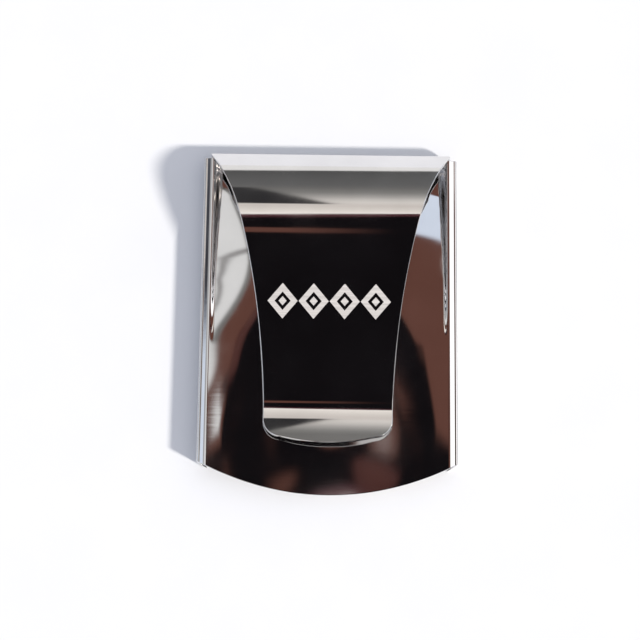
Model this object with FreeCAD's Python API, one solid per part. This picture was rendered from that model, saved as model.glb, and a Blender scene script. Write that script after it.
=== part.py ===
import FreeCAD, Part
import math
import os

# Double-sided money clip pressed from one strip of polished stainless sheet.
# X runs across the clip, Y runs from the open near end to the folded far end, and Z is up.
# The origin is the centre of the clip's bounding box, on the surface that the card rails rest on.
# All lengths are in millimetres and all angles are in degrees.

# Sheet and overall size
THICKNESS = 0.5
WIDTH = 57.0
LENGTH = 77.6
PLATE_HEIGHT = 4.4

# Card side: rolled edges, each with a small step down from the plate, and the flat lips that
# return under the card
ROLL_RADIUS = 2.2
STEP_SLOPE = 24.0
STEP_CREST = 1.9
STEP_HOLLOW = 0.3
STEP_LAND = 0.1
STEP_EDGE = 0.6
LIP_WIDTH = 7.0
LIP_CORNER = 3.0
LIP_END_Y = 25.0
LIP_SETBACK = 2.0
RAIL_SETBACK = 1.5

# Near end of the plate, one large arc from side to side
NEAR_SAGITTA = 7.15

# Far part of the plate, which sinks between the rails to meet the root fold
DIP_RUN = 27.3
DIP_SLOPE = 14.5
FLANK_START = 1.0
FLANK_END = 2.0

# Crown of the plate: its middle bows up along most of its length, and beside the tongue its
# sides also fall away, where a short steep flank joins them to the rails
BOW_RISE = 0.9
BOW_GROWTH = 30.0
BOW_FADE = 24.0
CROWN_DROP = 1.2
CROWN_START_Y = -6.0
CROWN_GROWTH = 20.0
CROWN_FADE = 8.0

# Shallow dish under the clip's tip
DISH_DEPTH = 1.2
DISH_FULLNESS = 1.25
DISH_HALF_WIDTH = 24.0
DISH_HALF_LENGTH = 34.0
PLATE_SPANS_X = 84
PLATE_SPANS_Y = 52

# Root fold
FOLD_RADIUS = 2.0
FOLD_HALF_WIDTH = 27.0
FOLD_END_SLOPE = 46.0
FOLD_LEAD = 1.0
FOLD_SHOULDER = 0.4
RAIL_CLEARANCE = 0.05

# Side profile of the spring tongue, on its outer face
RISE_RADIUS = 27.8
RISE_END_SLOPE = 22.4
CROWN_RADIUS = 16.6
BACK_RADIUS = 42.0
PAD_SLOPE = 9.973
CONTACT_RADIUS = 16.0
CONTACT_HEIGHT = 4.95
CONTACT_REACH = 58.1
TIP_SLOPE = 24.0
TIP_REACH = 66.5

# Plan outline of the spring tongue
TIP_HALF_WIDTH = 14.1
TIP_CORNER = 4.0
TIP_BULGE = 1.3
WAIST_RADIUS = 182.0
WAIST_START = 62.0
WAIST_END = 18.0

# Worked out from the dimensions above
FAR_Y = LENGTH / 2
NEAR_Y = -LENGTH / 2
HALF_WIDTH = WIDTH / 2
FLAT_HALF = HALF_WIDTH - ROLL_RADIUS
NEAR_ARC_RADIUS = (HALF_WIDTH**2 + NEAR_SAGITTA**2) / (2 * NEAR_SAGITTA)
RAIL_END_Y = FAR_Y - RAIL_SETBACK
DIP_RADIUS = DIP_RUN / math.sin(math.radians(DIP_SLOPE))
DIP_DROP = DIP_RADIUS * (1 - math.cos(math.radians(DIP_SLOPE)))
FOLD_INNER = FOLD_RADIUS - THICKNESS
FOLD_Y = FAR_Y - FOLD_RADIUS
FOLD_Z = PLATE_HEIGHT - DIP_DROP + FOLD_INNER * math.cos(math.radians(DIP_SLOPE))
DIP_END_Y = FOLD_Y - FOLD_INNER * math.sin(math.radians(DIP_SLOPE))
DIP_START_Y = DIP_END_Y - DIP_RUN
CONTACT_Y = FAR_Y - CONTACT_REACH
CUT_HEIGHT = 40.0


def vector(x, y, z):
    return FreeCAD.Vector(x, y, z)


def smooth(share):
    """0 to 1 with level ends."""
    share = max(0.0, min(1.0, share))
    return share * share * (3 - 2 * share)


def prism(edges, low, height):
    """Closed plan outline, drawn at z = 0, raised into a solid."""
    face = Part.Face(Part.Wire(edges))
    solid = face.extrude(vector(0, 0, height))
    solid.translate(vector(0, 0, low))
    return solid


def near_edge(x):
    """Y of the near end's arc at that distance across."""
    return NEAR_Y + NEAR_ARC_RADIUS - math.sqrt(NEAR_ARC_RADIUS**2 - x**2)


def near_end_prism():
    """Everything on the clip's side of the near end's arc."""
    outer = HALF_WIDTH + 1
    left = vector(-outer, near_edge(outer), 0)
    right = vector(outer, near_edge(outer), 0)
    far_right = vector(outer, FAR_Y + 1, 0)
    far_left = vector(-outer, FAR_Y + 1, 0)
    edges = [
        Part.Arc(left, vector(0, NEAR_Y, 0), right).toShape(),
        Part.LineSegment(right, far_right).toShape(),
        Part.LineSegment(far_right, far_left).toShape(),
        Part.LineSegment(far_left, left).toShape(),
    ]
    return prism(edges, -1, CUT_HEIGHT)


# ---- plate -----------------------------------------------------------------------------------


def bow(x, y):
    """How far the plate bows up above its rails at a point."""
    growth = smooth((y - NEAR_Y) / BOW_GROWTH)
    rise = BOW_RISE * growth * smooth((DIP_END_Y - y) / BOW_FADE)
    return rise * (1 - (abs(x) / FLAT_HALF) ** 3)


def crown(y):
    """How far the plate's sides fall away beside the tongue at that place along it."""
    growth = smooth((y - CROWN_START_Y) / CROWN_GROWTH)
    return CROWN_DROP * growth * smooth((DIP_END_Y - y) / CROWN_FADE)


def sink(x, y):
    """How far the plate has sunk between the rails at a point."""
    run = max(0.0, y - DIP_START_Y)
    dip = DIP_RADIUS - math.sqrt(DIP_RADIUS**2 - run**2)
    flank = FLANK_START + (FLANK_END - FLANK_START) * min(1.0, run / DIP_RUN)
    depth = dip + crown(y) * (abs(x) / FLAT_HALF) ** 3
    return depth * smooth((FLAT_HALF - abs(x)) / flank)


def dish(x, y):
    """Depth of the shallow dish under the clip's tip at a point."""
    reach = math.hypot(x / DISH_HALF_WIDTH, (y - CONTACT_Y) / DISH_HALF_LENGTH)
    return DISH_DEPTH * smooth(DISH_FULLNESS * (1 - reach))


def plate_top(x, y):
    return PLATE_HEIGHT + bow(x, y) - sink(x, y) - dish(x, y)


def pole_places(low, high, spans):
    """Places along one direction for the poles of a cubic sheet with even spans."""
    step = (high - low) / spans
    inside = [low + step * index for index in range(1, spans)]
    return [low, low + step / 3] + inside + [high - step / 3, high]


def money_plate():
    """Front plate: a dished sheet between the two rolled edges."""
    poles = []
    for x in pole_places(-FLAT_HALF, FLAT_HALF, PLATE_SPANS_X):
        along = pole_places(near_edge(x), DIP_END_Y, PLATE_SPANS_Y)
        poles.append([vector(x, y, plate_top(x, y)) for y in along])
    surface = Part.BSplineSurface()
    surface.buildFromPolesMultsKnots(
        poles,
        [4] + [1] * (PLATE_SPANS_X - 1) + [4],
        [4] + [1] * (PLATE_SPANS_Y - 1) + [4],
        list(range(PLATE_SPANS_X + 1)),
        list(range(PLATE_SPANS_Y + 1)),
        False,
        False,
        3,
        3,
    )
    return surface.toShape().extrude(vector(0, 0, -THICKNESS))


# ---- bent strips -----------------------------------------------------------------------------


class SheetPath:
    """Side profile of a bent strip, drawn along its outer face in the Y-Z plane.

    heading is the angle of travel from +Y towards +Z. The sheet lies on the left of travel.
    """

    def __init__(self, y, z, heading):
        self.y = y
        self.z = z
        self.heading = heading
        self.pieces = []

    def corner(self, depth):
        """Point at that depth below the outer face, at the present end of the path."""
        angle = math.radians(self.heading)
        return vector(0, self.y - depth * math.sin(angle), self.z + depth * math.cos(angle))

    def line(self, length):
        start = [self.corner(0), self.corner(THICKNESS)]
        angle = math.radians(self.heading)
        self.y += length * math.cos(angle)
        self.z += length * math.sin(angle)
        outer = Part.LineSegment(start[0], self.corner(0)).toShape()
        inner = Part.LineSegment(start[1], self.corner(THICKNESS)).toShape()
        self.pieces.append((outer, inner))

    def bend(self, radius, turn):
        """Arc of that outer-face radius. A positive turn goes from +Y towards +Z."""
        sign = 1 if turn > 0 else -1
        centre = self.corner(sign * radius)
        points = []
        for share in (0, 0.5, 1):
            angle = math.radians(self.heading + turn * share)
            out = vector(0, sign * math.sin(angle), -sign * math.cos(angle))
            points.append((centre + out * radius, centre + out * (radius - sign * THICKNESS)))
        outer = Part.Arc(points[0][0], points[1][0], points[2][0]).toShape()
        inner = Part.Arc(points[0][1], points[1][1], points[2][1]).toShape()
        self.pieces.append((outer, inner))
        self.heading += turn
        self.y = points[2][0].y
        self.z = points[2][0].z

    def take_solid(self, half_width):
        """Solid of the stretch drawn since the last call."""
        outer = [piece[0] for piece in self.pieces]
        inner = [piece[1] for piece in self.pieces]
        first = Part.LineSegment(
            outer[0].Vertexes[0].Point, inner[0].Vertexes[0].Point
        ).toShape()
        last = Part.LineSegment(
            outer[-1].Vertexes[-1].Point, inner[-1].Vertexes[-1].Point
        ).toShape()
        edges = Part.__sortEdges__(outer + [last] + inner + [first])
        face = Part.Face(Part.Wire(edges))
        face.translate(vector(-half_width, 0, 0))
        self.pieces = []
        return face.extrude(vector(2 * half_width, 0, 0))


# ---- card rails ------------------------------------------------------------------------------


def rail_roll(side):
    """Rolled edge that carries the sheet from the plate, down a small step, round to the lip."""
    slope = math.radians(STEP_SLOPE)
    drop = (STEP_CREST + STEP_HOLLOW) * (1 - math.cos(slope))
    run = (STEP_CREST + STEP_HOLLOW) * math.sin(slope)
    straight = (ROLL_RADIUS - STEP_EDGE - STEP_LAND - run) / math.cos(slope)
    wall = PLATE_HEIGHT - ROLL_RADIUS - STEP_EDGE - drop - straight * math.sin(slope)

    path = SheetPath(FLAT_HALF, 0, 0)
    path.bend(ROLL_RADIUS, 90)
    path.line(wall)
    path.bend(STEP_EDGE, 90)
    path.line(STEP_LAND)
    path.bend(STEP_HOLLOW, -STEP_SLOPE)
    path.line(straight)
    path.bend(STEP_CREST, STEP_SLOPE)
    roll = path.take_solid(RAIL_END_Y)
    roll.rotate(vector(0, 0, 0), vector(0, 0, 1), -90 * side)
    return roll.common(near_end_prism())


def rail_lip(side):
    """Flat lip that returns inwards under the cards and rests on the table.

    Its near end is set back a little from the near end of the plate.
    """
    outer = side * FLAT_HALF
    inner = side * (FLAT_HALF - LIP_WIDTH)
    rounded = inner + side * LIP_CORNER
    elbow = LIP_CORNER * (1 - math.sqrt(0.5))
    bend = vector(inner + side * elbow, LIP_END_Y - elbow, 0)
    edges = [
        Part.LineSegment(vector(outer, NEAR_Y, 0), vector(outer, LIP_END_Y, 0)).toShape(),
        Part.LineSegment(vector(outer, LIP_END_Y, 0), vector(rounded, LIP_END_Y, 0)).toShape(),
        Part.Arc(
            vector(rounded, LIP_END_Y, 0), bend, vector(inner, LIP_END_Y - LIP_CORNER, 0)
        ).toShape(),
        Part.LineSegment(
            vector(inner, LIP_END_Y - LIP_CORNER, 0), vector(inner, NEAR_Y, 0)
        ).toShape(),
        Part.LineSegment(vector(inner, NEAR_Y, 0), vector(outer, NEAR_Y, 0)).toShape(),
    ]
    set_back = near_end_prism().translated(vector(0, LIP_SETBACK, 0))
    return prism(edges, 0, THICKNESS).common(set_back)


# ---- spring tongue ---------------------------------------------------------------------------


def fold_outline():
    """Plan outline of the root fold: between the rails, then a little wider beyond them."""
    narrow = FLAT_HALF - RAIL_CLEARANCE
    step_y = RAIL_END_Y + RAIL_CLEARANCE
    shoulder_y = RAIL_END_Y + FOLD_SHOULDER
    right = [
        vector(narrow, DIP_END_Y, 0),
        vector(narrow, step_y, 0),
        vector(FOLD_HALF_WIDTH, shoulder_y, 0),
        vector(FOLD_HALF_WIDTH, FAR_Y + 1, 0),
    ]
    left = [vector(-point.x, point.y, 0) for point in reversed(right)]
    return prism(Part.makePolygon(right + left + right[:1]).Edges, -1, CUT_HEIGHT)


def tongue_side():
    """Edges of the right-hand outline, from the tip's corner to the root fold."""
    waist_centre = TIP_HALF_WIDTH + WAIST_RADIUS
    start_y = FAR_Y - WAIST_START
    end_y = FAR_Y - WAIST_END
    root = vector(FOLD_HALF_WIDTH, FAR_Y - FOLD_SHOULDER, 0)

    def waist(y):
        run = y - start_y
        return vector(waist_centre - math.sqrt(WAIST_RADIUS**2 - run**2), y, 0)

    end = waist(end_y)
    slope = math.asin((end_y - start_y) / WAIST_RADIUS)
    chord = root - end
    turn = math.atan2(chord.x, chord.y) - slope
    flare_radius = chord.Length / (2 * math.sin(turn))
    middle = slope + turn / 2
    half_chord = 2 * flare_radius * math.sin(turn / 2)
    flare_middle = end + vector(math.sin(middle), math.cos(middle), 0) * half_chord
    waist_arc = Part.Arc(waist(start_y), waist((start_y + end_y) / 2), end).toShape()
    return [waist_arc, Part.Arc(end, flare_middle, root).toShape()]


def tongue_outline():
    """Plan outline of the arch, pad and tip."""
    tip_y = FAR_Y - TIP_REACH
    shoulder_y = tip_y + TIP_BULGE
    side = tongue_side()
    start = side[0].Vertexes[0].Point
    root = side[-1].Vertexes[-1].Point
    corner_top = vector(TIP_HALF_WIDTH, shoulder_y + TIP_CORNER, 0)
    corner_end = vector(TIP_HALF_WIDTH - TIP_CORNER, shoulder_y, 0)
    elbow = TIP_CORNER * (1 - math.sqrt(0.5))
    corner_mid = vector(TIP_HALF_WIDTH - elbow, shoulder_y + elbow, 0)
    right = side + [
        Part.LineSegment(corner_top, start).toShape(),
        Part.Arc(corner_end, corner_mid, corner_top).toShape(),
    ]
    mirror_at = vector(0, 0, 0)
    left = [edge.mirror(mirror_at, vector(1, 0, 0)) for edge in right]
    near = Part.Arc(
        vector(-corner_end.x, corner_end.y, 0), vector(0, tip_y, 0), corner_end
    ).toShape()
    beyond = vector(FOLD_HALF_WIDTH, FAR_Y + 1, 0)
    beyond_left = vector(-beyond.x, beyond.y, 0)
    far = [
        Part.LineSegment(root, beyond).toShape(),
        Part.LineSegment(beyond, beyond_left).toShape(),
        Part.LineSegment(beyond_left, vector(-root.x, root.y, 0)).toShape(),
    ]
    return prism(Part.__sortEdges__(right + left + far + [near]), -1, CUT_HEIGHT)


def tongue_nodes():
    """Root fold, arch, pad and tip, cut from one bent strip."""
    outline = tongue_outline()
    slope = math.radians(DIP_SLOPE)
    start_y = FOLD_Y - FOLD_RADIUS * math.sin(slope) - FOLD_LEAD * math.cos(slope)
    start_z = FOLD_Z - FOLD_RADIUS * math.cos(slope) + FOLD_LEAD * math.sin(slope)
    path = SheetPath(start_y, start_z, -DIP_SLOPE)

    path.line(FOLD_LEAD)
    path.bend(FOLD_RADIUS, DIP_SLOPE + 180 - FOLD_END_SLOPE)
    root_fold = path.take_solid(HALF_WIDTH).common(fold_outline())

    path.bend(RISE_RADIUS, FOLD_END_SLOPE - RISE_END_SLOPE)
    path.bend(CROWN_RADIUS, RISE_END_SLOPE)
    path.bend(BACK_RADIUS, PAD_SLOPE)
    spring_arch = path.take_solid(HALF_WIDTH).common(outline)

    pad_sine = math.sin(math.radians(PAD_SLOPE))
    contact_rise = CONTACT_RADIUS * (1 - math.cos(math.radians(PAD_SLOPE)))
    path.line((path.z - CONTACT_HEIGHT - contact_rise) / pad_sine)
    clip_pad = path.take_solid(HALF_WIDTH).common(outline)

    path.bend(CONTACT_RADIUS, -PAD_SLOPE - TIP_SLOPE)
    reach = path.y - (FAR_Y - TIP_REACH)
    path.line((reach + 1) / math.cos(math.radians(TIP_SLOPE)))
    clip_tip = path.take_solid(HALF_WIDTH).common(outline)
    return {
        "root_fold": root_fold,
        "spring_arch": spring_arch,
        "clip_pad": clip_pad,
        "clip_tip": clip_tip,
    }


def main():
    nodes = tongue_nodes()
    nodes["money_plate"] = money_plate()
    for name, side in (("left", -1), ("right", 1)):
        nodes[name + "_rail_roll"] = rail_roll(side)
        nodes[name + "_rail_lip"] = rail_lip(side)
    os.makedirs("parts", exist_ok=True)
    for name, shape in nodes.items():
        solid = shape.Solids[0] if len(shape.Solids) == 1 else shape
        solid.exportStep("parts/" + name + ".step")
        box = solid.BoundBox
        print(
            name,
            len(shape.Solids),
            solid.isValid(),
            round(solid.Volume, 2),
            [round(v, 3) for v in (box.XMin, box.YMin, box.ZMin, box.XMax, box.YMax, box.ZMax)],
        )


main()
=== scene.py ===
import math

import bpy
import numpy as np
from mathutils import Matrix, Vector


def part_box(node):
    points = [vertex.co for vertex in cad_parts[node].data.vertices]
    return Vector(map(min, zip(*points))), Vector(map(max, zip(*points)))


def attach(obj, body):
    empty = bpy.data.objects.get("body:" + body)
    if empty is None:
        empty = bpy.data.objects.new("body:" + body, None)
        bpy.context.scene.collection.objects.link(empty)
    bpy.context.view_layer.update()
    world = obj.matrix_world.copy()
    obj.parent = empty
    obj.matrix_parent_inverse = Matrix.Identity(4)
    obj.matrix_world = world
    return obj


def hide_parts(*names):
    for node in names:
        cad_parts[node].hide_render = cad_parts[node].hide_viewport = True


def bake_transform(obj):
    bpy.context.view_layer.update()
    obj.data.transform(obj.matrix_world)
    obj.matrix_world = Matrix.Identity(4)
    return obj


# Polished one-piece money clip. Lengths here are in metres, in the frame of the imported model:
# X across the clip, Y from its open near end to its folded far end, Z up from the table.

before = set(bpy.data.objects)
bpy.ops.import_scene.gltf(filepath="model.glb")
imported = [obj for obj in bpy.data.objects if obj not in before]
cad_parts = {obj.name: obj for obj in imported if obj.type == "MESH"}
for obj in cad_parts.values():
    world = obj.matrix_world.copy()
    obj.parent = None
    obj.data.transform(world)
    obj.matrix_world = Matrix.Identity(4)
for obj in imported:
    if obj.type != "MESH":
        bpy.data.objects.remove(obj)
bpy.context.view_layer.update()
MM = 0.001
deg = math.radians

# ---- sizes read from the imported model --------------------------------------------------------

ROLL_LOW, ROLL_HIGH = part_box("right_rail_roll")
LIP_LOW, LIP_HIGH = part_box("right_rail_lip")
FOLD_LOW, FOLD_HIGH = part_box("root_fold")
THICKNESS = LIP_HIGH.z - LIP_LOW.z
HALF_WIDTH = ROLL_HIGH.x
FLAT_HALF = ROLL_LOW.x
PLATE_HEIGHT = ROLL_HIGH.z
ROLL_RADIUS = HALF_WIDTH - FLAT_HALF
LIP_INNER = LIP_LOW.x
RAIL_END_Y = ROLL_HIGH.y
LIP_END_Y = LIP_HIGH.y
FAR_Y = FOLD_HIGH.y
NEAR_Y = -FAR_Y
DIP_END_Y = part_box("money_plate")[1].y
TIP_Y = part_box("clip_tip")[0].y

# ---- design values that the boxes can't give -------------------------------------------------

NEAR_SAGITTA = 7.15 * MM
STEP_SLOPE = deg(24.0)
STEP_CREST = 1.9 * MM
STEP_HOLLOW = 0.3 * MM
STEP_LAND = 0.1 * MM
STEP_EDGE = 0.6 * MM
LIP_CORNER = 3.0 * MM
LIP_SETBACK = 2.0 * MM
DIP_RUN = 27.3 * MM
DIP_SLOPE = deg(14.5)
FLANK_START = 1.0 * MM
FLANK_END = 2.0 * MM
BOW_RISE = 0.9 * MM
BOW_GROWTH = 30.0 * MM
BOW_FADE = 24.0 * MM
CROWN_DROP = 1.2 * MM
CROWN_START_Y = -6.0 * MM
CROWN_GROWTH = 20.0 * MM
CROWN_FADE = 8.0 * MM
DISH_DEPTH = 1.2 * MM
DISH_FULLNESS = 1.25
DISH_HALF_WIDTH = 24.0 * MM
DISH_HALF_LENGTH = 34.0 * MM
FOLD_RADIUS = 2.0 * MM
FOLD_SHOULDER = 0.4 * MM
FOLD_END_SLOPE = deg(46.0)
RISE_RADIUS = 27.8 * MM
RISE_END_SLOPE = deg(22.4)
CROWN_RADIUS = 16.6 * MM
BACK_RADIUS = 42.0 * MM
PAD_SLOPE = deg(9.973)
CONTACT_RADIUS = 16.0 * MM
CONTACT_HEIGHT = 4.95 * MM
TIP_SLOPE = deg(24.0)
TIP_HALF_WIDTH = 14.1 * MM
TIP_CORNER = 4.0 * MM
TIP_BULGE = 1.3 * MM
WAIST_RADIUS = 182.0 * MM
WAIST_START_Y = FAR_Y - 62.0 * MM
WAIST_END_Y = FAR_Y - 18.0 * MM
CONTACT_Y = FAR_Y - 58.1 * MM
RAIL_CLEARANCE = 0.05 * MM
FOLD_END_FADE = 0.5 * MM

# ---- edge rounding and fineness of the meshes ------------------------------------------------

EDGE_RADIUS = 0.14 * MM
EDGE_STEPS = 4
GRID_STEP = 0.4 * MM
FINE_STEP = 0.06 * MM
PLATE_ROWS = 190
ROLL_ROWS = 120
LIP_ROWS = 110
LIP_COLUMNS = 15
LIP_CORNER_ROWS = 12
TONGUE_COLUMNS = 111
TIP_ROWS = 24

# ---- sizes worked out from those above -------------------------------------------------------

NEAR_ARC_RADIUS = (HALF_WIDTH**2 + NEAR_SAGITTA**2) / (2 * NEAR_SAGITTA)
DIP_START_Y = DIP_END_Y - DIP_RUN
DIP_RADIUS = DIP_RUN / math.sin(DIP_SLOPE)
FOLD_Y = FAR_Y - FOLD_RADIUS
FOLD_Z = FOLD_LOW.z + FOLD_RADIUS
FOLD_HALF_WIDTH = FOLD_HIGH.x


# ---- sheet meshes ----------------------------------------------------------------------------


def unit(vectors):
    """The same directions with a length of 1."""
    length = np.linalg.norm(vectors, axis=-1, keepdims=True)
    return vectors / np.maximum(length, 1e-12)


def smooth(share):
    """0 to 1 with level ends."""
    share = np.clip(share, 0.0, 1.0)
    return share * share * (3 - 2 * share)


def edge_profile(radius):
    """Rounded sheet edge as (outwards, downwards, turn of the normal) from top to bottom."""
    turns = [math.pi / 2 * k / EDGE_STEPS for k in range(EDGE_STEPS + 1)]
    top = [(radius * math.sin(a), radius * (1 - math.cos(a)), a) for a in turns]
    low = [(out, THICKNESS - down, math.pi - a) for out, down, a in reversed(top)]
    return top + low


def border(shape):
    """Indices round a grid, and the side (near, right, far, left) that each step lies on."""
    rows, columns = shape
    near = [(0, c) for c in range(columns - 1)]
    right = [(r, columns - 1) for r in range(rows - 1)]
    far = [(rows - 1, c) for c in range(columns - 1, 0, -1)]
    left = [(r, 0) for r in range(rows - 1, 0, -1)]
    sides = [0] * len(near) + [1] * len(right) + [2] * len(far) + [3] * len(left)
    return np.array(near + right + far + left), np.array(sides)


def outward_vectors(points, normals, ring, sides, free):
    """In-surface outward direction at each border point, scaled by how free the edge is there."""
    rows, columns = points.shape[:2]
    along = unit(np.gradient(points, axis=0))
    across = unit(np.gradient(points, axis=1))
    centre = points[rows // 2, columns // 2]
    edges = ((across, np.s_[0, :]), (along, np.s_[:, -1]), (across, np.s_[-1, :]), (along, np.s_[:, 0]))
    by_side = []
    for tangent, edge in edges:
        out = unit(np.cross(tangent[edge], normals[edge]))
        middle = len(out) // 2
        if np.dot(out[middle], points[edge][middle] - centre) < 0:
            out = -out
        by_side.append(out)
    result, wall = [], []
    for (row, column), side in zip(ring, sides):
        at_sides = (row == 0, column == columns - 1, row == rows - 1, column == 0)
        places_on = (column, row, column, row)
        found = [(by_side[k][places_on[k]], free[k][places_on[k]]) for k in range(4) if at_sides[k]]
        if len(found) == 1:
            out = found[0][0] * found[0][1]
        else:
            (a, share_a), (b, share_b) = found
            if share_a > 0 and share_b > 0:
                out = (a + b) / (1 + np.dot(a, b))
            else:
                out = a * share_a + b * share_b
        result.append(out)
        wall.append(by_side[side][places_on[side]])
    return np.array(result), np.array(wall)


def quads(index):
    """Faces between the neighbours of a grid of vertex numbers."""
    corners = [index[:-1, :-1], index[:-1, 1:], index[1:, 1:], index[1:, :-1]]
    return np.stack(corners, -1).reshape(-1, 4)


def sheet_mesh(points, normals, free):
    """Vertices, faces and corner normals of the closed sheet under a grid of points.

    free holds, for the near, right, far and left sides, how far each border point is a real
    rounded edge (1) or a plain joint with the next piece (0).
    """
    rows, columns = points.shape[:2]
    lines = (columns, rows, columns, rows)
    free = [np.full(n, float(f)) if np.isscalar(f) else np.asarray(f, float) for f, n in zip(free, lines)]
    ring, sides = border((rows, columns))
    out, wall = outward_vectors(points, normals, ring, sides, free)
    top = points[ring[:, 0], ring[:, 1]]
    up = normals[ring[:, 0], ring[:, 1]]
    count = len(ring)
    loose = np.linalg.norm(out, axis=1) > 1e-3
    profile = edge_profile(EDGE_RADIUS)
    ring_points = [top + out * o - up * d for o, d, _ in profile]
    ring_normals = [unit(unit(out) * math.sin(a) + up * math.cos(a)) for _, _, a in profile]

    grid = np.arange(rows * columns).reshape(rows, columns)
    low_grid = grid + rows * columns
    base = 2 * rows * columns
    ring_index = [grid[ring[:, 0], ring[:, 1]]]
    ring_index += [base + count * k + np.arange(count) for k in range(len(profile) - 2)]
    ring_index.append(low_grid[ring[:, 0], ring[:, 1]])
    low_points = points - normals * THICKNESS
    verts = np.concatenate([points.reshape(-1, 3), low_points.reshape(-1, 3)] + ring_points[1:-1])

    flat = normals.reshape(-1, 3)
    faces = [quads(grid), quads(low_grid)]
    loop_normals = [flat[quads(grid)], -flat[quads(grid)]]
    following = np.roll(np.arange(count), -1)
    stepping = loose & loose[following]
    hard = np.repeat(wall[:, None, :], 4, axis=1)
    for k in range(len(profile) - 1):
        near, far = ring_index[k], ring_index[k + 1]
        faces.append(np.stack([near, near[following], far[following], far], -1))
        near, far = ring_normals[k], ring_normals[k + 1]
        soft = np.stack([near, near[following], far[following], far], 1)
        loop_normals.append(np.where(stepping[:, None, None], soft, hard))
    return verts, np.concatenate(faces), np.concatenate(loop_normals)


def sheet_piece(name, points, normals, free):
    """Object for the closed solid sheet under a grid of points on its outer face."""
    verts, faces, loop_normals = sheet_mesh(points, normals, free)
    corner = verts[faces]
    facing = np.cross(corner[:, 2] - corner[:, 0], corner[:, 3] - corner[:, 1])
    turned = np.einsum("ij,ij->i", facing, loop_normals.mean(axis=1)) < 0
    faces[turned] = faces[turned][:, ::-1]
    loop_normals[turned] = loop_normals[turned][:, ::-1]

    mesh = bpy.data.meshes.new(name)
    mesh.from_pydata(verts.tolist(), [], faces.tolist())
    mesh.polygons.foreach_set("use_smooth", [True] * len(faces))
    mesh.normals_split_custom_set(loop_normals.reshape(-1, 3).tolist())
    mesh.validate()
    return placed(name, mesh)


def placed(name, mesh):
    """New object with this mesh, in the scene."""
    piece = bpy.data.objects.new(name, mesh)
    bpy.context.scene.collection.objects.link(piece)
    return piece


def places(low, high, step=GRID_STEP):
    """Evenly spread values from low to high, at most a step apart."""
    return np.linspace(low, high, max(2, int(math.ceil(abs(high - low) / step)) + 1))


# ---- plate and rails -------------------------------------------------------------------------


def near_edge(x):
    """Y of the large arc at the near end, less the edge's rounding."""
    return NEAR_Y + NEAR_ARC_RADIUS - np.sqrt(NEAR_ARC_RADIUS**2 - x**2) + EDGE_RADIUS


def bow(x, y):
    """How far the plate bows up above its rails."""
    rise = BOW_RISE * smooth((y - NEAR_Y) / BOW_GROWTH) * smooth((DIP_END_Y - y) / BOW_FADE)
    return rise * (1 - (np.abs(x) / FLAT_HALF) ** 3)


def sink(x, y):
    """How far the plate has sunk between the rails, which is most at its sides beside the tongue."""
    run = np.maximum(0.0, y - DIP_START_Y)
    dip = DIP_RADIUS - np.sqrt(DIP_RADIUS**2 - run**2)
    flank = FLANK_START + (FLANK_END - FLANK_START) * np.minimum(1.0, run / DIP_RUN)
    growth = smooth((y - CROWN_START_Y) / CROWN_GROWTH)
    crown = CROWN_DROP * growth * smooth((DIP_END_Y - y) / CROWN_FADE)
    return (dip + crown * (np.abs(x) / FLAT_HALF) ** 3) * smooth((FLAT_HALF - np.abs(x)) / flank)


def plate_top(x, y):
    """Height of the plate's upper face, with its bow, dip and dish."""
    reach = np.hypot(x / DISH_HALF_WIDTH, (y - CONTACT_Y) / DISH_HALF_LENGTH)
    return PLATE_HEIGHT + bow(x, y) - sink(x, y) - DISH_DEPTH * smooth(DISH_FULLNESS * (1 - reach))


def plate_piece():
    """The plate, with closer columns over its flanks and slopes taken from the height itself."""
    flank = places(FLAT_HALF - FLANK_END, FLAT_HALF, GRID_STEP / 3)
    inside = places(-(FLAT_HALF - FLANK_END), FLAT_HALF - FLANK_END)
    x = np.concatenate([-flank[:0:-1], inside, flank[1:]])
    share = np.linspace(0, 1, PLATE_ROWS)[:, None]
    start = near_edge(x)[None, :]
    y = start + (DIP_END_Y - start) * share
    x = np.broadcast_to(x[None, :], y.shape)
    z = plate_top(x, y)
    nudge = 0.01 * MM
    slope_x = (plate_top(x + nudge, y) - plate_top(x - nudge, y)) / (2 * nudge)
    slope_y = (plate_top(x, y + nudge) - plate_top(x, y - nudge)) / (2 * nudge)
    points = np.stack([x, y, z], -1)
    normals = unit(np.stack([-slope_x, -slope_y, np.ones_like(z)], -1))
    flank_inside = np.abs(x[0]) - (FLAT_HALF - FLANK_END)
    far_free = smooth(flank_inside / FOLD_END_FADE)
    return sheet_piece("money_plate_sheet", points, normals, (1, 0, far_free, 0))


def roll_profile():
    """Outer face of a rolled edge in the X-Z plane, from the lip round and up to the plate."""
    drop = (STEP_CREST + STEP_HOLLOW) * (1 - math.cos(STEP_SLOPE))
    run = (STEP_CREST + STEP_HOLLOW) * math.sin(STEP_SLOPE)
    straight = (ROLL_RADIUS - STEP_EDGE - STEP_LAND - run) / math.cos(STEP_SLOPE)
    wall = PLATE_HEIGHT - ROLL_RADIUS - STEP_EDGE - drop - straight * math.sin(STEP_SLOPE)
    path = Profile(FLAT_HALF, 0.0, 0.0)
    path.bend(ROLL_RADIUS, math.pi / 2)
    path.line(wall)
    path.bend(STEP_EDGE, math.pi / 2, FINE_STEP)
    path.line(STEP_LAND, FINE_STEP)
    path.bend(STEP_HOLLOW, -STEP_SLOPE, FINE_STEP)
    path.line(straight)
    path.bend(STEP_CREST, STEP_SLOPE, FINE_STEP)
    return np.array(path.rows)


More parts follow.
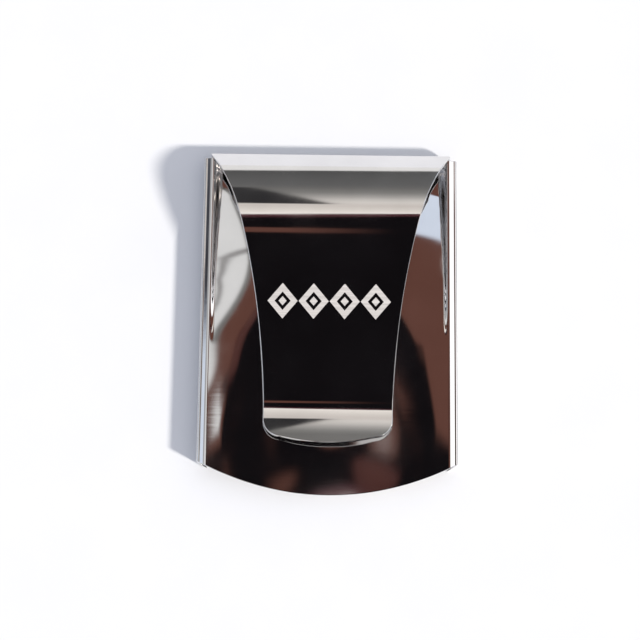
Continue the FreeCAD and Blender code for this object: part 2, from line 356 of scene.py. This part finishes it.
def roll_piece(side, name):
    """Rolled edge, which is its profile drawn out along the rail."""
    x, z, heading = roll_profile().T
    share = np.linspace(0, 1, ROLL_ROWS)[:, None]
    start = near_edge(x)[None, :]
    y = start + (RAIL_END_Y - EDGE_RADIUS - start) * share
    points = np.stack([np.broadcast_to(side * x, y.shape), y, np.broadcast_to(z, y.shape)], -1)
    out = np.stack([side * np.sin(heading), np.zeros_like(heading), -np.cos(heading)], -1)
    normals = np.broadcast_to(out, points.shape).copy()
    return sheet_piece(name, points, normals, (1, 0, 1, 0))


def lip_piece(side, name):
    """Flat lip with a rounded far inner corner, its outer face down on the table."""
    corner = LIP_CORNER - EDGE_RADIUS
    corner_y = LIP_END_Y - LIP_CORNER
    inner = LIP_INNER + EDGE_RADIUS
    share = np.linspace(0, 1, LIP_COLUMNS)[None, :]
    turn = np.linspace(0, math.pi / 2, LIP_CORNER_ROWS + 1)[1:]
    straight = np.linspace(0, 1, LIP_ROWS)
    inner_x = np.concatenate([np.full(LIP_ROWS, inner), inner + corner * (1 - np.cos(turn))])
    x = FLAT_HALF + (inner_x[:, None] - FLAT_HALF) * share
    start = near_edge(x[:LIP_ROWS]) + LIP_SETBACK
    y = np.empty_like(x)
    y[:LIP_ROWS] = start + (corner_y - start) * straight[:, None]
    y[LIP_ROWS:] = (corner_y + corner * np.sin(turn))[:, None]
    points = np.stack([side * x, y, np.zeros_like(x)], -1)
    normals = np.broadcast_to(np.array([0.0, 0.0, -1.0]), points.shape).copy()
    return sheet_piece(name, points, normals, (1, 1, 1, 0))


# ---- tongue ----------------------------------------------------------------------------------


def tongue_half_width(y):
    """Half-width of the arch, pad and tip in plan, as two arcs that meet smoothly."""
    run = np.clip(y - WAIST_START_Y, 0, WAIST_END_Y - WAIST_START_Y)
    waist = TIP_HALF_WIDTH + WAIST_RADIUS - np.sqrt(WAIST_RADIUS**2 - run**2)
    length = WAIST_END_Y - WAIST_START_Y
    end_x = TIP_HALF_WIDTH + WAIST_RADIUS - math.sqrt(WAIST_RADIUS**2 - length**2)
    slope = math.asin(length / WAIST_RADIUS)
    rise_y = FAR_Y - FOLD_SHOULDER - WAIST_END_Y
    rise_x = FOLD_HALF_WIDTH - end_x
    turn = math.atan2(rise_x, rise_y) - slope
    radius = math.hypot(rise_x, rise_y) / (2 * math.sin(turn))
    centre_x = end_x + radius * math.cos(slope)
    centre_y = WAIST_END_Y - radius * math.sin(slope)
    flare_run = np.clip(y - centre_y, -radius, radius)
    flare = centre_x - np.sqrt(np.maximum(radius**2 - flare_run**2, 0.0))
    return np.where(y < WAIST_END_Y, waist, np.minimum(flare, FOLD_HALF_WIDTH))


def fold_half_width(y):
    """Half-width of the fold: between the rails, then a little wider past their ends."""
    narrow = FLAT_HALF - RAIL_CLEARANCE
    share = (y - RAIL_END_Y) / FOLD_SHOULDER
    return narrow + (FOLD_HALF_WIDTH - narrow) * smooth(share)


class Profile:
    """Outer face of a bent strip as rows of (place, height, heading), with marks on some rows."""

    def __init__(self, y, z, heading):
        self.rows = [(y, z, heading)]
        self.marks = {}

    def mark(self, name):
        """Remembers the last row under a name."""
        self.marks[name] = len(self.rows) - 1

    def line(self, length, step=GRID_STEP):
        """Runs straight on."""
        y, z, heading = self.rows[-1]
        for distance in places(0, length, step)[1:]:
            self.rows.append((y + distance * math.cos(heading), z + distance * math.sin(heading), heading))

    def bend(self, radius, turn, step=GRID_STEP):
        """Runs on round an arc, turning up (or down, where the turn is negative)."""
        y, z, heading = self.rows[-1]
        sign = 1 if turn > 0 else -1
        centre_y = y - sign * radius * math.sin(heading)
        centre_z = z + sign * radius * math.cos(heading)
        for angle in places(0, turn, step / radius)[1:]:
            now = heading + angle
            new_y = centre_y + sign * radius * math.sin(now)
            new_z = centre_z - sign * radius * math.cos(now)
            self.rows.append((new_y, new_z, now))


def tongue_profile():
    """Side view of the strip from the plate's dip round the fold, over the arch and to the tip."""
    start_y = FOLD_Y - FOLD_RADIUS * math.sin(DIP_SLOPE)
    start_z = FOLD_Z - FOLD_RADIUS * math.cos(DIP_SLOPE)
    path = Profile(start_y, start_z, -DIP_SLOPE)
    path.bend(FOLD_RADIUS, DIP_SLOPE + math.pi - FOLD_END_SLOPE, GRID_STEP / 3)
    path.mark("fold_end")
    path.bend(RISE_RADIUS, FOLD_END_SLOPE - RISE_END_SLOPE)
    path.bend(CROWN_RADIUS, RISE_END_SLOPE)
    path.bend(BACK_RADIUS, PAD_SLOPE)
    path.mark("arch_end")
    contact_rise = CONTACT_RADIUS * (1 - math.cos(PAD_SLOPE))
    path.line((path.rows[-1][1] - CONTACT_HEIGHT - contact_rise) / math.sin(PAD_SLOPE))
    path.mark("pad_end")
    path.bend(CONTACT_RADIUS, -PAD_SLOPE - TIP_SLOPE, GRID_STEP / 2)
    path.line((path.rows[-1][0] - TIP_Y) / math.cos(TIP_SLOPE))
    return path


def tongue_grids():
    """Points and normals of the whole tongue, row by row from the root fold to the tip."""
    path = tongue_profile()
    across = np.linspace(-1, 1, TONGUE_COLUMNS)[None, :]
    profile = np.array(path.rows)
    corner = TIP_CORNER - EDGE_RADIUS
    shoulder = TIP_Y + TIP_BULGE + EDGE_RADIUS
    corner_y = shoulder + corner

    body = profile[: np.argmax(profile[:, 0] < corner_y)]
    width = tongue_half_width(body[:, 0])
    fold = path.marks["fold_end"]
    width[: fold + 1] = fold_half_width(body[: fold + 1, 0])
    width[fold] = width[fold + 1] + (width[fold + 1] - width[fold + 2])
    width -= EDGE_RADIUS

    turn = np.linspace(0, math.pi / 2, TIP_ROWS)
    tip_rows = corner_y - corner * np.sin(turn)
    tip_width = TIP_HALF_WIDTH - EDGE_RADIUS - corner * (1 - np.cos(turn))
    bulge = smooth((corner_y - tip_rows) / corner)
    tip_y = tip_rows[:, None] - (TIP_BULGE * bulge)[:, None] * (1 - across**2)

    near_part = profile[path.marks["pad_end"] :][::-1]
    tip_z = np.interp(tip_y, near_part[:, 0], near_part[:, 1])
    tip_heading = np.interp(tip_y, near_part[:, 0], near_part[:, 2])

    def spread(column):
        return column[:, None] + np.zeros_like(across)

    x = np.concatenate([width, tip_width])[:, None] * across
    y = np.concatenate([spread(body[:, 0]), tip_y])
    z = np.concatenate([spread(body[:, 1]), tip_z])
    heading = np.concatenate([spread(body[:, 2]), tip_heading])
    points = np.stack([x, y, z], -1)
    normals = np.stack([np.zeros_like(heading), np.sin(heading), -np.cos(heading)], -1)
    return points, normals, path.marks


def tongue_pieces():
    """The tongue's grid cut into its four nodes, with a real edge at the sides and the tip."""
    points, normals, marks = tongue_grids()
    cuts = [0, marks["fold_end"], marks["arch_end"], marks["pad_end"], len(points) - 1]
    names = ["root_fold_sheet", "spring_arch_sheet", "clip_pad_sheet", "clip_tip_sheet"]
    pieces = []
    for index, name in enumerate(names):
        rows = slice(cuts[index], cuts[index + 1] + 1)
        tip_end = 1 if index == len(names) - 1 else 0
        pieces.append(sheet_piece(name, points[rows], normals[rows], (0, 1, tip_end, 1)))
    return pieces


# ---- etched mark -----------------------------------------------------------------------------

MARK_WIDTH = 27.2 * MM
MARK_HEIGHT = 7.8 * MM
MARK_COUNT = 4
MARK_Y = FAR_Y - 35.6 * MM
MARK_LIFT = 0.004 * MM
MARK_DEPTH = 0.012 * MM
LOZENGE_WIDTH = 0.97
HOLE_SIZE = 0.52
CORE_SIZE = 0.26


def pad_frame():
    """Point on the pad at the mark's centre, with the directions across, up the pad and out."""
    up_pad = Vector((0, math.cos(PAD_SLOPE), math.sin(PAD_SLOPE)))
    out = Vector((0, -math.sin(PAD_SLOPE), math.cos(PAD_SLOPE)))
    path = tongue_profile()
    y, z, _ = path.rows[path.marks["arch_end"]]
    along = (y - MARK_Y) / math.cos(PAD_SLOPE)
    centre = Vector((0, y, z)) - up_pad * along
    return centre, Vector((1, 0, 0)), up_pad, out


def lozenge(width, height):
    """Four corners, anticlockwise from the right."""
    return [(width / 2, 0), (0, height / 2), (-width / 2, 0), (0, -height / 2)]


def raised_shape(verts, faces, outer, inner, to_world):
    """Adds a thin prism, with a hole if there is an inner outline, to the lists."""
    count = len(outer)
    base = len(verts)
    for height in (MARK_DEPTH, 0):
        verts += [to_world(x, y, height) for x, y in outer]
        if inner:
            verts += [to_world(x, y, height) for x, y in inner]
    rings = 2 if inner else 1
    low = base + rings * count
    if inner:
        for k in range(count):
            n = (k + 1) % count
            faces.append((base + k, base + n, base + count + n, base + count + k))
            faces.append((low + k, low + count + k, low + count + n, low + n))
            faces.append((base + count + k, base + count + n, low + count + n, low + count + k))
    else:
        faces.append(tuple(base + k for k in range(count)))
        faces.append(tuple(low + k for k in reversed(range(count))))
    for k in range(count):
        n = (k + 1) % count
        faces.append((base + k, low + k, low + n, base + n))


def etched_mark():
    """Generic row of lozenges, etched matt into the pad."""
    centre, across, up_pad, out = pad_frame()
    pitch = MARK_WIDTH / MARK_COUNT
    verts, faces = [], []
    for index in range(MARK_COUNT):
        middle = (index - (MARK_COUNT - 1) / 2) * pitch

        def to_world(x, y, height, middle=middle):
            return tuple(centre + across * (x + middle) + up_pad * y + out * (MARK_LIFT + height))

        outer = lozenge(pitch * LOZENGE_WIDTH, MARK_HEIGHT)
        hole = lozenge(pitch * HOLE_SIZE, MARK_HEIGHT * HOLE_SIZE)
        core = lozenge(pitch * CORE_SIZE, MARK_HEIGHT * CORE_SIZE)
        raised_shape(verts, faces, outer, hole, to_world)
        raised_shape(verts, faces, core, None, to_world)
    mesh = bpy.data.meshes.new("etched_mark")
    mesh.from_pydata(verts, [], faces)
    mesh.validate()
    return placed("etched_mark", mesh)


# ---- materials -------------------------------------------------------------------------------

BRUSHING_DEPTH = 0.02 * MM
SHEET_WAVES = 0.005 * MM
PLATE_WAVES = 0.02 * MM


def new_material(name):
    """Empty node material with one principled shader."""
    material = bpy.data.materials.new(name)
    material.use_nodes = True
    nodes = material.node_tree.nodes
    links = material.node_tree.links
    nodes.clear()
    output = nodes.new("ShaderNodeOutputMaterial")
    shader = nodes.new("ShaderNodeBsdfPrincipled")
    links.new(shader.outputs["BSDF"], output.inputs["Surface"])
    return material, nodes, links, shader


def mapped_noise(nodes, links, scale, stretch, detail):
    """Noise fixed to the piece, with its features drawn out where stretch is below 1."""
    place = nodes.new("ShaderNodeTexCoord")
    mapping = nodes.new("ShaderNodeMapping")
    mapping.inputs["Scale"].default_value = stretch
    noise = nodes.new("ShaderNodeTexNoise")
    noise.inputs["Scale"].default_value = scale
    noise.inputs["Detail"].default_value = detail
    links.new(place.outputs["Object"], mapping.inputs["Vector"])
    links.new(mapping.outputs["Vector"], noise.inputs["Vector"])
    return noise.outputs["Fac"]


def ranged(nodes, links, value, low_in, high_in, low_out, high_out):
    """A value carried from one range to another."""
    node = nodes.new("ShaderNodeMapRange")
    node.inputs["From Min"].default_value = low_in
    node.inputs["From Max"].default_value = high_in
    node.inputs["To Min"].default_value = low_out
    node.inputs["To Max"].default_value = high_out
    links.new(value, node.inputs["Value"])
    return node.outputs["Result"]


def tinted(nodes, links, value, low, high):
    """Colour that runs between two (place, colour) stops."""
    ramp = nodes.new("ShaderNodeValToRGB")
    for element, (place, colour) in zip(ramp.color_ramp.elements, (low, high)):
        element.position = place
        element.color = (*colour, 1)
    links.new(value, ramp.inputs["Fac"])
    return ramp.outputs["Color"]


def bumped(nodes, links, height, distance, strength, under=None):
    """Normal of a relief of this depth, on top of another where one is given."""
    bump = nodes.new("ShaderNodeBump")
    bump.inputs["Strength"].default_value = strength
    bump.inputs["Distance"].default_value = distance
    links.new(height, bump.inputs["Height"])
    if under:
        links.new(under, bump.inputs["Normal"])
    return bump.outputs["Normal"]


def polished_steel(name, wave_height):
    """Mirror-polished sheet with faint smudges, brushing across it and the given waviness."""
    material, nodes, links, shader = new_material(name)
    shader.inputs["Metallic"].default_value = 1.0
    smudge = mapped_noise(nodes, links, 90.0, (1, 1, 1), 4.0)
    scratch = mapped_noise(nodes, links, 900.0, (0.06, 1, 1), 2.0)
    wave = mapped_noise(nodes, links, 60.0, (1, 0.7, 1), 0.0)
    rough = ranged(nodes, links, smudge, 0.35, 0.7, 0.035, 0.075)
    colour = tinted(nodes, links, smudge, (0.3, (0.76, 0.75, 0.745)), (0.75, (0.84, 0.83, 0.825)))
    waves = bumped(nodes, links, wave, wave_height, 1.0)
    brushing = bumped(nodes, links, scratch, BRUSHING_DEPTH, 0.06, waves)
    links.new(rough, shader.inputs["Roughness"])
    links.new(colour, shader.inputs["Base Color"])
    links.new(brushing, shader.inputs["Normal"])
    return material


def etched_steel():
    """Matt pale etching with fine lines across it."""
    material, nodes, links, shader = new_material("etched_steel")
    shader.inputs["Metallic"].default_value = 0.0
    lines = mapped_noise(nodes, links, 500.0, (0.05, 6, 6), 3.0)
    rough = ranged(nodes, links, lines, 0.3, 0.7, 0.45, 0.65)
    colour = tinted(nodes, links, lines, (0.3, (0.52, 0.49, 0.46)), (0.7, (0.70, 0.66, 0.62)))
    links.new(rough, shader.inputs["Roughness"])
    links.new(colour, shader.inputs["Base Color"])
    return material


def paper():
    """Plain white paper with a faint grain."""
    material, nodes, links, shader = new_material("paper")
    shader.inputs["Roughness"].default_value = 0.9
    shader.inputs["Specular IOR Level"].default_value = 0.1
    grain = mapped_noise(nodes, links, 60.0, (1, 1, 1), 5.0)
    colour = tinted(nodes, links, grain, (0.0, (0.86, 0.865, 0.88)), (1.0, (0.90, 0.90, 0.905)))
    links.new(colour, shader.inputs["Base Color"])
    return material


# ---- surroundings ----------------------------------------------------------------------------

FLOOR_HALF = 0.6
TOWARDS_SUN = Vector((1.7, -0.89, 1.0)).normalized()


def floor():
    """Square sheet of paper under the clip."""
    half = FLOOR_HALF
    corners = [(-half, -half, 0), (half, -half, 0), (half, half, 0), (-half, half, 0)]
    mesh = bpy.data.meshes.new("table")
    mesh.from_pydata(corners, [], [(0, 1, 2, 3)])
    table = placed("table", mesh)
    table.data.materials.append(paper())


def sun():
    """Low sun from the near right, a few degrees wide."""
    light = bpy.data.lights.new("sun", "SUN")
    light.energy = 3.9
    light.angle = deg(5.5)
    light.color = (1.0, 0.96, 0.9)
    lamp = bpy.data.objects.new("sun", light)
    bpy.context.scene.collection.objects.link(lamp)
    lamp.rotation_mode = "QUATERNION"
    lamp.rotation_quaternion = TOWARDS_SUN.to_track_quat("Z", "Y")


# Colours of the surroundings. Some are brighter than white, for lit areas.
NIGHT = (0.006, 0.005, 0.006)
BROWN = (0.135, 0.058, 0.044)
DARK_RED = (0.095, 0.034, 0.041)
CREAM = (0.95, 0.89, 0.83)
DULL_CREAM = (0.72, 0.66, 0.62)
SHADE = (0.20, 0.19, 0.19)
SILVER = (0.80, 0.80, 0.80)
SKY_BLUE = (0.76, 0.84, 0.98)
PALE = (0.90, 0.89, 0.88)
GLARE = (1.10, 1.05, 1.0)
WHITE_PANEL = (1.35, 1.35, 1.37)
WALL_GREY = (0.42, 0.42, 0.43)
COOL_GREY = (0.34, 0.35, 0.38)
EMBER = (0.085, 0.034, 0.03)
SKYLINE = (0.045, 0.045, 0.05)


class WorldMaths:
    """Short-hand for building values and colours from the world's nodes."""

    def __init__(self, tree):
        self.nodes = tree.nodes
        self.links = tree.links

    def feed(self, socket, value):
        """Sets a socket to a number, or links it to another node's output."""
        if isinstance(value, (int, float)):
            socket.default_value = value
        else:
            self.links.new(value, socket)

    def do(self, operation, *values, clamp=False):
        node = self.nodes.new("ShaderNodeMath")
        node.operation = operation
        node.use_clamp = clamp
        for socket, value in zip(node.inputs, values):
            self.feed(socket, value)
        return node.outputs[0]

    def step(self, value, place, soft):
        """0 below place and 1 above it, with a smooth change over soft on each side."""
        node = self.nodes.new("ShaderNodeMapRange")
        node.interpolation_type = "SMOOTHSTEP"
        self.feed(node.inputs["Value"], value)
        node.inputs["From Min"].default_value = place - soft
        node.inputs["From Max"].default_value = place + soft
        return node.outputs["Result"]

    def fall(self, value, place, soft):
        """1 below place and 0 above it."""
        return self.do("SUBTRACT", 1.0, self.step(value, place, soft))

    def band(self, value, low, high, soft):
        """1 between low and high, and 0 outside them."""
        rise = self.step(value, low, soft)
        fall = self.step(value, high, soft)
        return self.do("SUBTRACT", rise, fall, clamp=True)

    def both(self, a, b):
        """Share where two shares hold together."""
        return self.do("MULTIPLY", a, b)

    def either(self, a, b):
        """Share where at least one of two shares holds."""
        return self.do("MAXIMUM", a, b)

    def mix(self, share, a, b):
        """Colour a where the share is 0 and b where it is 1."""
        node = self.nodes.new("ShaderNodeMix")
        node.data_type = "RGBA"
        self.feed(node.inputs["Factor"], share)
        for socket, value in ((node.inputs[6], a), (node.inputs[7], b)):
            if isinstance(value, tuple):
                socket.default_value = (*value, 1)
            else:
                self.links.new(value, socket)
        return node.outputs[2]

    def by_angle(self, angle, stops):
        """Colour ramp over an angle, with its stops in rising degrees from -90 to 90."""
        share = self.do("MULTIPLY_ADD", angle, 1 / math.pi, 0.5)
        node = self.nodes.new("ShaderNodeValToRGB")
        elements = node.color_ramp.elements
        first, *middle, last = [((place + 90) / 180, colour) for place, colour in stops]
        for element, (place, colour) in zip(elements, (first, last)):
            element.position = place
            element.color = (*colour, 1)
        for place, colour in middle:
            elements.new(place).color = (*colour, 1)
        self.feed(node.inputs["Fac"], share)
        return node.outputs["Color"]


def overhead(maths, over, beside):
    """Straight over the clip: a dark area, a pale ceiling beyond it, and a grey far wall."""
    leaning = maths.do("MULTIPLY_ADD", beside, -0.3, over)
    colours = maths.by_angle(
        leaning,
        [
            (-64, PALE),
            (-60, NIGHT),
            (13.6, NIGHT),
            (14.6, DARK_RED),
            (15.5, DARK_RED),
            (16.1, GLARE),
            (17.5, CREAM),
            (23.0, (0.80, 0.75, 0.70)),
            (28.0, DULL_CREAM),
            (34.0, (0.78, 0.74, 0.70)),
            (39.0, (0.64, 0.61, 0.58)),
            (43.0, (0.48, 0.46, 0.44)),
            (47.0, (0.36, 0.35, 0.335)),
            (51.0, (0.26, 0.255, 0.245)),
            (59.0, (0.185, 0.18, 0.175)),
            (65.0, (0.14, 0.14, 0.14)),
            (83.5, (0.10, 0.10, 0.10)),
            (84.5, PALE),
        ],
    )
    low_line = maths.band(over, deg(3.6), deg(6.6), deg(0.4))
    left_part = maths.fall(beside, deg(0.5), deg(2))
    colours = maths.mix(maths.both(low_line, left_part), colours, BROWN)
    patch_end = maths.do("MINIMUM", deg(60), maths.do("MULTIPLY_ADD", beside, -11, deg(35)))
    before_end = maths.fall(maths.do("SUBTRACT", over, patch_end), 0.0, deg(2))
    dark_patch = maths.both(maths.step(over, deg(31), deg(1)), before_end)
    return maths.mix(dark_patch, colours, (0.035, 0.034, 0.036))


def left_side(maths, over, beside, outward):
    """Silver wall with a shaded streak, a dark gap, then a brown wall that edges the dark area."""
    silver = maths.by_angle(
        outward,
        [
            (-64, PALE),
            (-60, SILVER),
            (27.6, SILVER),
            (29.2, SHADE),
            (30.8, SILVER),
            (70.0, SILVER),
            (80.0, SHADE),
        ],
    )
    lean_in = maths.do("MAXIMUM", maths.do("SUBTRACT", deg(10.5), over), 0.0)
    silver_edge = maths.do("MINIMUM", maths.do("MULTIPLY_ADD", lean_in, 3, deg(-13.5)), deg(-7.3))
    past_edge = maths.do("SUBTRACT", beside, silver_edge)
    brown = maths.either(maths.step(over, deg(9.9), deg(0.7)), maths.fall(past_edge, deg(1.5), deg(0.7)))
    walls = maths.mix(maths.step(past_edge, 0.0, deg(0.8)), silver, maths.mix(brown, NIGHT, BROWN))
    between = maths.band(past_edge, deg(-1.2), deg(0.3), deg(0.6))
    gap = maths.both(between, maths.step(over, deg(13), deg(2)))
    return maths.mix(maths.do("MULTIPLY", gap, 0.8), walls, (0.05, 0.05, 0.045))


def right_side(maths, over, beside, outward):
    """Brown wall round the corner of the dark area, with blue sky over it."""
    brown = maths.either(maths.step(over, deg(11.5), deg(1.5)), maths.step(beside, deg(8), deg(1.2)))
    wall = maths.mix(brown, NIGHT, BROWN)
    wall = maths.mix(maths.step(over, 0.0, deg(4)), NIGHT, wall)
    return maths.mix(maths.step(outward, deg(36.1), deg(0.9)), wall, SKY_BLUE)


def far_left_side(maths, over, beside):
    """Grey wall, with sky below it and past its left end, and a dark doorway at that end."""
    beyond = maths.step(beside, deg(-47), deg(2))
    wall = maths.mix(maths.step(over, deg(5), deg(7)), SKY_BLUE, WALL_GREY)
    doorway = maths.both(
        maths.band(over, deg(20), deg(34), deg(2)), maths.band(beside, deg(-55), deg(-47), deg(2))
    )
    return maths.mix(doorway, maths.mix(beyond, SKY_BLUE, wall), (0.05, 0.05, 0.06))


def far_right_side(maths, over):
    """White panel between grey walls."""
    return maths.mix(maths.band(over, deg(-2), deg(38), deg(7)), COOL_GREY, WHITE_PANEL)


def mirrored(maths, x, y, z):
    """What the steel mirrors in each direction.

    over is the angle from straight up towards the far end, beside is the angle to the right.
    """
    over = maths.do("ARCTAN2", y, z)
    beside = maths.do("ARCSINE", x)
    aside = maths.do("ABSOLUTE", beside)
    outward = maths.do("MULTIPLY_ADD", aside, 0.3, over)
    left = left_side(maths, over, beside, outward)
    right = right_side(maths, over, beside, outward)
    seen = maths.mix(maths.step(beside, deg(-4.8), deg(0.9)), left, overhead(maths, over, beside))
    seen = maths.mix(maths.step(beside, deg(4.8), deg(0.9)), seen, right)
    ember = maths.both(
        maths.band(over, deg(9.2), deg(14.2), deg(0.6)), maths.band(beside, deg(-7.5), deg(-3.6), deg(0.8))
    )
    seen = maths.mix(maths.do("MULTIPLY", ember, 0.9), seen, EMBER)
    seen = maths.mix(maths.step(beside, deg(-28), deg(3)), far_left_side(maths, over, beside), seen)
    seen = maths.mix(maths.step(beside, deg(29), deg(3)), seen, far_right_side(maths, over))
    low_down = maths.both(maths.fall(z, 0.26, 0.10), maths.step(aside, deg(52), deg(5)))
    return maths.mix(low_down, seen, SKYLINE)


def studio_world():
    """Surroundings: what the steel mirrors, and a soft light that is stronger towards the sun."""
    world = bpy.data.worlds.new("studio")
    bpy.context.scene.world = world
    world.use_nodes = True
    tree = world.node_tree
    tree.nodes.clear()
    maths = WorldMaths(tree)
    place = tree.nodes.new("ShaderNodeTexCoord")
    split = tree.nodes.new("ShaderNodeSeparateXYZ")
    tree.links.new(place.outputs["Generated"], split.inputs["Vector"])
    x, y, z = split.outputs
    rays = tree.nodes.new("ShaderNodeLightPath")
    towards_sun = maths.do("MULTIPLY_ADD", x, 0.5, 0.5)
    ambient = maths.mix(towards_sun, (0.26, 0.30, 0.40), (0.86, 0.86, 0.90))
    unmirrored = maths.mix(rays.outputs["Is Camera Ray"], ambient, (0.93, 0.93, 0.94))
    backdrop = maths.mix(rays.outputs["Is Glossy Ray"], unmirrored, mirrored(maths, x, y, z))
    background = tree.nodes.new("ShaderNodeBackground")
    tree.links.new(backdrop, background.inputs["Color"])
    output = tree.nodes.new("ShaderNodeOutputWorld")
    tree.links.new(background.outputs["Background"], output.inputs["Surface"])


def camera():
    """Camera above the clip, leaning a little towards its near end."""
    tilt = deg(13.0)
    roll = deg(0.72)
    distance = 0.390
    aim = Vector((-1.96 * MM, 0.96 * MM, 0))
    back = Vector((0, -math.sin(tilt), math.cos(tilt)))
    across = Vector((1, 0, 0))
    up = back.cross(across)
    right = across * math.cos(roll) + up * math.sin(roll)
    upright = up * math.cos(roll) - across * math.sin(roll)
    data = bpy.data.cameras.new("camera")
    data.sensor_width = 36.0
    data.lens = 98.2
    data.clip_start = 0.01
    data.clip_end = 20.0
    eye = bpy.data.objects.new("camera", data)
    bpy.context.scene.collection.objects.link(eye)
    rotation = Matrix((right, upright, back)).transposed().to_4x4()
    eye.matrix_world = Matrix.Translation(aim + back * distance) @ rotation
    bpy.context.scene.camera = eye


# ---- assembly --------------------------------------------------------------------------------

# How many times light may be mirrored on its way.
MIRROR_BOUNCES = 12


def dress(piece, material, slot, body, *nodes):
    """Gives a piece its material and body, and hides the CAD nodes that it stands for. The slot argument
    is not used.
    """
    piece.data.materials.append(material)
    if nodes:
        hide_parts(*nodes)
    if body:
        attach(piece, body)


def main():
    bpy.context.scene.view_settings.view_transform = "Standard"
    steel = polished_steel("polished_steel", SHEET_WAVES)
    wavy_steel = polished_steel("polished_plate", PLATE_WAVES)
    camera()
    sun()
    studio_world()
    floor()
    dress(plate_piece(), wavy_steel, "polished_steel", "card_frame", "money_plate")
    for side, hand in ((-1, "left"), (1, "right")):
        roll = roll_piece(side, hand + "_rail_roll_sheet")
        dress(roll, steel, "polished_steel", "card_frame", hand + "_rail_roll")
        lip = lip_piece(side, hand + "_rail_lip_sheet")
        dress(lip, steel, "polished_steel", "card_frame", hand + "_rail_lip")
    fold, arch, pad, tip = tongue_pieces()
    dress(fold, steel, "polished_steel", None, "root_fold")
    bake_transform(fold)
    dress(arch, steel, "polished_steel", "spring_tongue", "spring_arch")
    dress(pad, steel, "polished_steel", "spring_tongue", "clip_pad")
    dress(tip, steel, "polished_steel", "spring_tongue", "clip_tip")
    dress(etched_mark(), etched_steel(), "etched_steel", "spring_tongue")


main()
bpy.context.scene.cycles.glossy_bounces = MIRROR_BOUNCES
bpy.context.view_layer.update()
